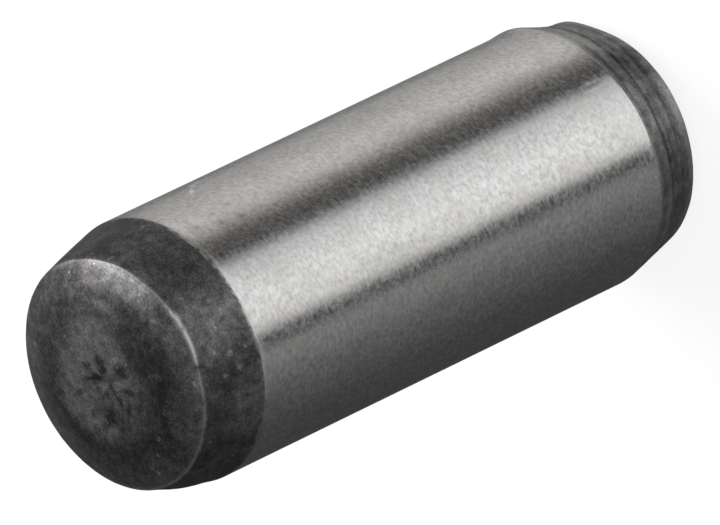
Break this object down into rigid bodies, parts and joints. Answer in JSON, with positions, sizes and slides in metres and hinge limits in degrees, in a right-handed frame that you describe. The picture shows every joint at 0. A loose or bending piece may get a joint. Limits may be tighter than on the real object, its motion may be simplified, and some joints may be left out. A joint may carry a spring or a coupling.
{
  "type": "dowel pin",
  "caption": "Solid ground steel dowel pin with a lead taper and a shallow crowned face at each end, standing on one end.",
  "frame": {"origin": "centre of the lower end face, which the pin stands on", "axes": "+Z along the pin's axis, from the lower end to the upper end"},
  "size_m": [0.006, 0.006, 0.016],
  "materials": {
    "ground_steel": "hardened steel, ground on the barrel, dark mottled heat-treated skin on the tapers and end faces"
  },
  "bodies": {
    "root": {"dowel_pin": "ground_steel"}
  },
  "joints": []
}
